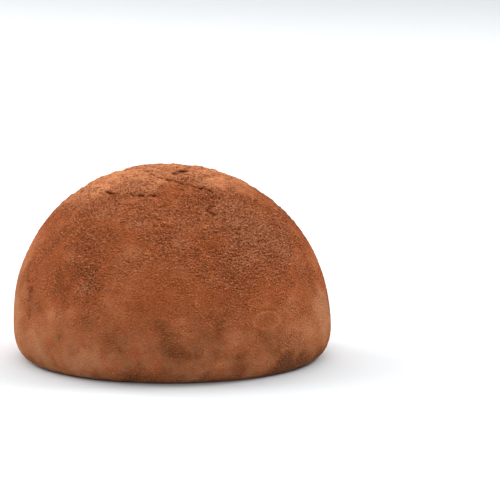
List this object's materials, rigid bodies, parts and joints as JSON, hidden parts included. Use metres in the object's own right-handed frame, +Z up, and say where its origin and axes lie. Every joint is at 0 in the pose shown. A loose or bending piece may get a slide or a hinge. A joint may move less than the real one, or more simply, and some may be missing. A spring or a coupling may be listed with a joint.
{
  "type": "chocolate mochi",
  "caption": "Whole chocolate mochi: a soft dome of rice dough dusted and caked with cocoa powder, resting on its flat foot.",
  "frame": {"origin": "middle of the bounding box at the flat foot, on the surface that the mochi stands on", "axes": "+Z up from the foot to the crown, -Y towards the person who looks at it, +X to that person's right"},
  "size_m": [0.045, 0.0448, 0.0271],
  "materials": {
    "cocoa_powder": "dry cocoa powder on soft rice dough, dull and grainy"
  },
  "bodies": {
    "root": {"mochi": "cocoa_powder"}
  },
  "joints": []
}
